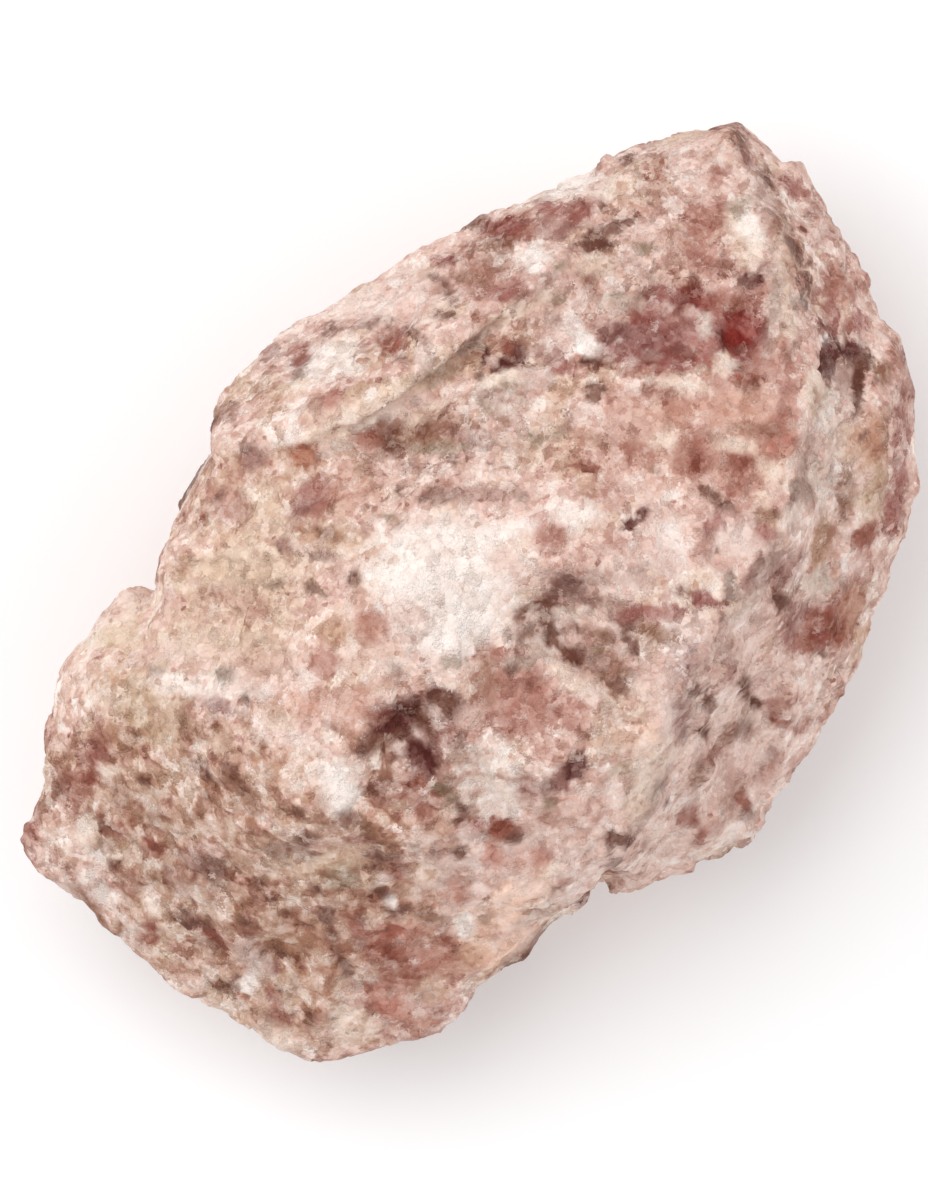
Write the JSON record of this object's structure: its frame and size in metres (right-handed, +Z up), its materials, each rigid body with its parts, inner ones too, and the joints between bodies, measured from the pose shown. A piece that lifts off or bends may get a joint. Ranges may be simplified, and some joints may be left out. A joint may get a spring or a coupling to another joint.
{
  "type": "rough aventurine stone",
  "caption": "Rough broken hand specimen of pink aventurine, a granular quartz stone, lying on its broad flat break.",
  "frame": {"origin": "centre of the stone's box, on the floor it lies on", "axes": "+X along the stone's longest side, towards its narrow tip; +Y across it, away from the layered flank; +Z up, out of its broad upper face"},
  "size_m": [0.07, 0.0466, 0.0358],
  "materials": {
    "aventurine": "rough granular break, satin to glassy grains"
  },
  "bodies": {
    "root": {"aventurine": "aventurine"}
  },
  "joints": []
}
